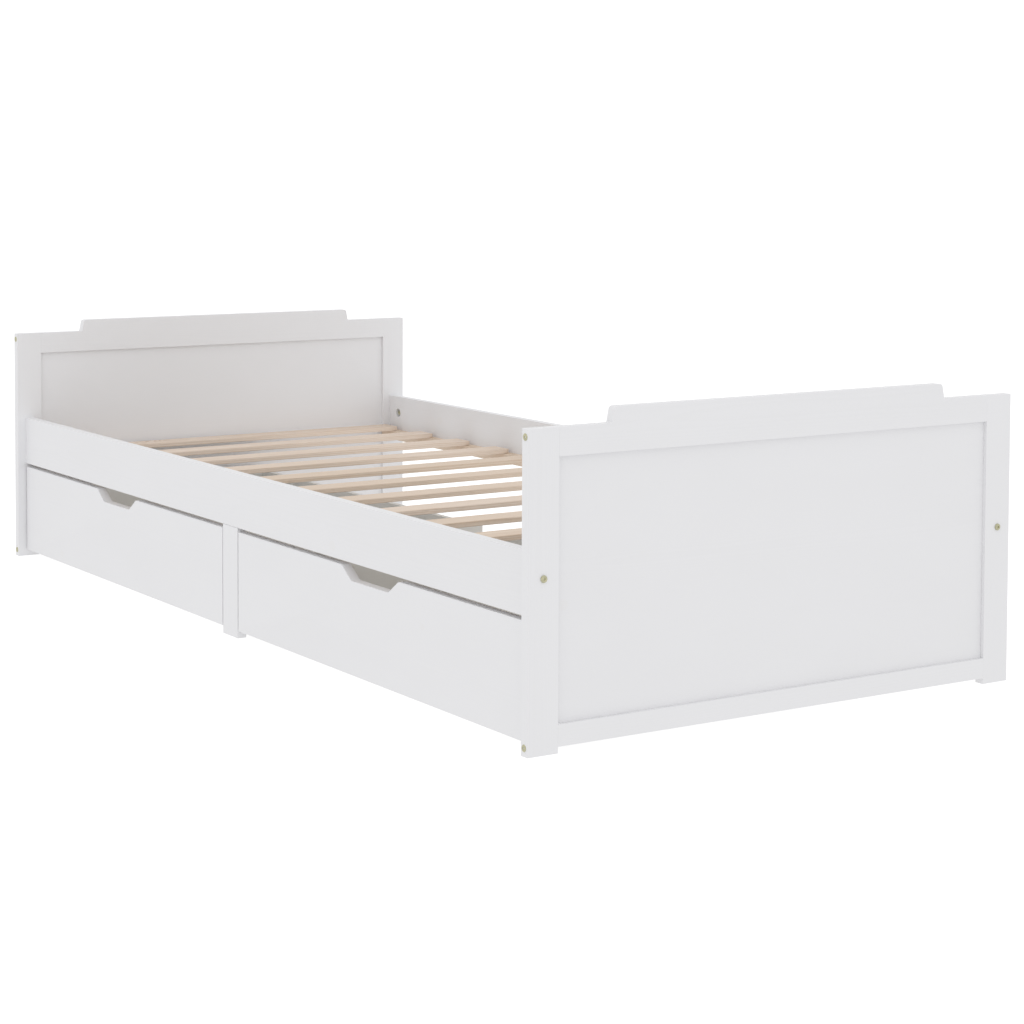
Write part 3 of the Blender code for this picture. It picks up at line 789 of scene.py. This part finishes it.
for end, outward in (("foot", -1), ("head", 1)):
    for side in ("near", "far"):
        node = f"rail_bolt_{end}_{side}"
        middle, span = bolt_axis(node)
        low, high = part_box(f"{end}_{side}_post")
        face_y = low.y if outward < 0 else high.y
        seat = (middle[0], face_y + BOLT_SEAT * outward, middle[2])
        bolt = turned(f"{node}_turned", bolt_section(span - FRAME_HEAD), seat, (0, outward, 0),
                      socket=SOCKET)
        fit(bolt, node, ZINC)
        for height, where in ((POST_BOLT_UP, "low"), (high.z - low.z - POST_BOLT_DOWN, "high")):
            edge_x = low.x if side == "near" else high.x
            sign = -1 if side == "near" else 1
            place = (edge_x - SUNK * sign, (low.y + high.y) / 2, low.z + height)
            head = turned(f"{end}_{side}_post_bolt_{where}", bolt_section(POST_BOLT_SHAFT), place,
                          (sign, 0, 0), socket=SOCKET)
            fit(head, f"{end}_{side}_post", ZINC, stands_for=False)
print("12 bolts")

# %% [markdown]
# The barrel nut is a short steel rod with a threaded cross hole. It lies across the bolt in the middle of
# the pocket.

# %% Turn the barrel nuts
NUT = 0.0045
NUT_LONG = 0.0105
NUT_SLOT = 0.0095

for side, sign in (("near", -1), ("far", 1)):
    low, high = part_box(f"side_rail_{side}")
    for end in ("foot", "head"):
        middle, _ = bolt_axis(f"rail_bolt_{end}_{side}")
        nut_y = (low.y + POCKET_FROM_END) if end == "foot" else (high.y - POCKET_FROM_END)
        start = (low.x + POCKET_FLOOR) if sign < 0 else (high.x - POCKET_FLOOR)
        section = [(0, 0, 1e-6), (NUT, 0, 0.0003), (NUT, NUT_LONG, 0.0006), (SOCKET, NUT_LONG, 0.0002),
                   (SOCKET, NUT_SLOT, 0.0001), (0, NUT_SLOT, 1e-6)]
        nut = turned(f"barrel_nut_{end}_{side}", section, (start, nut_y, middle[2]), (-sign, 0, 0),
                     socket=SOCKET)
        fit(nut, f"side_rail_{side}", ZINC, stands_for=False)
print("4 barrel nuts")

# %% [markdown]
# ## Castors
#
# Each drawer rolls on four small fixed castors. Their housings already have the right shape in the frame,
# so they only get their finish. The wheels are turned again with a smoother running surface, a dished
# side and a hub, and every plate gets its four screws.

# %% Dress the castors
SCREW = 0.0026
SCREW_HIGH = 0.0011
SCREW_DRIVE = SCREW * 0.45
PLATE = 0.003
TREAD = 0.006
DISH_RIM = 0.0112
DISH = 0.0102
DISH_DEEP = 0.0012
HUB = 0.0058
HUB_FACE = 0.0052
AXLE = 0.003
PLATE_SCREWS = [(-0.016, -0.0135), (0.016, -0.0135), (0.016, 0.0135), (-0.016, 0.0135)]


def screw(name, seat, outward, node):
    """A small screw head with a hexagon drive, seated on a face of a node."""
    section = [(0, -0.001, 1e-6), (SCREW, -0.001, 0.0001), (SCREW, SCREW_HIGH, 0.0007),
               (SCREW_DRIVE, SCREW_HIGH, 0.0001), (SCREW_DRIVE, 0.0002, 0.0001), (0, 0.0002, 1e-6)]
    head = turned(name, section, seat, outward, sides=24, socket=SCREW_DRIVE)
    return fit(head, node, ZINC, stands_for=False)


for drawer in ("drawer_foot", "drawer_head"):
    for number in range(1, 5):
        housing = frame["nodes"][f"{drawer}_castor_{number}"]
        housing.data.materials.clear()
        housing.data.materials.append(HOUSING)
        low, high = (np.array(corner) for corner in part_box(f"{drawer}_castor_{number}"))
        underside = (low + high) / 2 + [0, 0, (high[2] - low[2]) / 2 - PLATE]
        for count, (along_x, along_y) in enumerate(PLATE_SCREWS, 1):
            screw(f"{drawer}_castor_{number}_screw_{count}", underside + [along_x, along_y, 0],
                  (0, 0, -1), f"{drawer}_castor_{number}")
        wheel_node = f"{drawer}_wheel_{number}"
        low, high = (np.array(corner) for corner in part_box(wheel_node))
        middle, radius = (low + high) / 2, (high[2] - low[2]) / 2
        axle_end, dish = (high[1] - low[1]) / 2, TREAD - DISH_DEEP
        right = [(radius, TREAD, 0.0025), (DISH_RIM, TREAD, 0.0004), (DISH, dish, 0.0004),
                 (HUB, dish, 0.0004), (HUB_FACE, TREAD, 0.0004), (AXLE, TREAD, 0.0002),
                 (AXLE, axle_end, 0.0004), (0, axle_end, 1e-6)]
        left = [(across, -along, rounding) for across, along, rounding in reversed(right)]
        wheel = turned(f"{wheel_node}_turned", left + right, middle, (0, 1, 0), sides=64)
        fit(wheel, wheel_node, TYRE)
print("8 castors")

# %% [markdown]
# Each ledger is screwed to its rail in every second gap between the slats, where a screwdriver gets in.

# %% Screw the ledgers to the rails
gaps = [(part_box(one)[1].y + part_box(two)[0].y) / 2 for one, two in zip(slat_nodes, slat_nodes[1:])]
for side, sign in (("near", -1), ("far", 1)):
    low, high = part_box(f"slat_ledger_{side}")
    inner_x = high.x if side == "near" else low.x
    for count, gap_y in enumerate(gaps[::2], 1):
        screw(f"ledger_screw_{side}_{count}", (inner_x, gap_y, (low.z + high.z) / 2), (-sign, 0, 0),
              f"slat_ledger_{side}")
print(f"{2 * len(gaps[::2])} ledger screws")

# %% [markdown]
# ## Light and cove
#
# A white bed is shown best on white. The light is a large even glow from all round, with one wide soft
# lamp above, so nothing throws a hard shadow and the boards are told apart by small steps of grey.

# %% Light the studio
world = bpy.data.worlds.new("studio")
bpy.context.scene.world = world
world.use_nodes = True
world.node_tree.nodes["Background"].inputs["Color"].default_value = (1.0, 1.0, 1.0, 1.0)
world.node_tree.nodes["Background"].inputs["Strength"].default_value = 0.93
bpy.context.scene.view_settings.view_transform = "Standard"

lamp = bpy.data.objects.new("soft lamp", bpy.data.lights.new("soft lamp", "AREA"))
bpy.context.scene.collection.objects.link(lamp)
lamp.data.shape = "RECTANGLE"
lamp.data.size = 4.0
lamp.data.size_y = 4.0
lamp.data.energy = 12.0
lamp.location = (-1.5, -2.0, 4.0)
lamp.rotation_euler = (math.radians(20), math.radians(-18), 0)
print("one lamp of", lamp.data.energy, "W over", lamp.data.size, "m")

# %% [markdown]
# The floor is a wide pale cove: it is flat for thirty metres, curves up into a wall, and so has no corner
# where floor and wall could be told apart. It gives off light of its own, enough for the camera to see it
# as plain white right up to the bed, with no shade left round its feet. It is a backdrop and
# no lamp: it is there for the camera alone, and the glow that lights the bed comes through it, from below
# as well.

# %% Bend the cove
COVE_FLAT = 30.0
COVE_BEND = 8.0
COVE_HIGH = 40.0

floor_recipe = Recipe("pale floor")
cloud = floor_recipe.noise(object_place(floor_recipe), (3.0, 3.0, 3.0), detail=5.0)
pale = floor_recipe.blend(cloud, (0.34, 0.34, 0.34, 1.0), (0.32, 0.32, 0.32, 1.0))
floor_recipe.shader.inputs["Emission Color"].default_value = (1.0, 1.0, 1.0, 1.0)
floor_recipe.shader.inputs["Emission Strength"].default_value = 0.84
floor_recipe.shader.inputs["Specular IOR Level"].default_value = 0.1
FLOOR = floor_recipe.finish(0.1, cloud * 0.0001, Base_Color=pale, Roughness=0.8 + cloud * 0.1)


def cove(around=96, steps=16):
    """Points and faces of a bowl: flat, then a quarter circle, then a wall with a lid far above.

    On the bend the radius is COVE_FLAT + COVE_BEND * sin a and the height COVE_BEND * (1 - cos a).
    """
    bend = np.linspace(0, np.pi / 2, steps)
    radius = np.concatenate([[0.5], COVE_FLAT + COVE_BEND * np.sin(bend), [COVE_FLAT + COVE_BEND]])
    height = np.concatenate([[0.0], COVE_BEND * (1 - np.cos(bend)), [COVE_HIGH]])
    angle = np.linspace(0, 2 * np.pi, around, endpoint=False)
    points = np.stack([radius[:, None] * np.cos(angle), radius[:, None] * np.sin(angle),
                       np.repeat(height[:, None], around, axis=1)], axis=-1)
    return points.reshape(-1, 3), skin(len(radius), around)


cove_points, cove_faces = cove()
backdrop = make_mesh("cove", cove_points - [0, 0, 0.0002], cove_faces)
backdrop.data.materials.append(FLOOR)
backdrop.visible_diffuse = False
backdrop.visible_glossy = False
backdrop.visible_shadow = False
print(f"cove of {2 * (COVE_FLAT + COVE_BEND):.0f} m across")
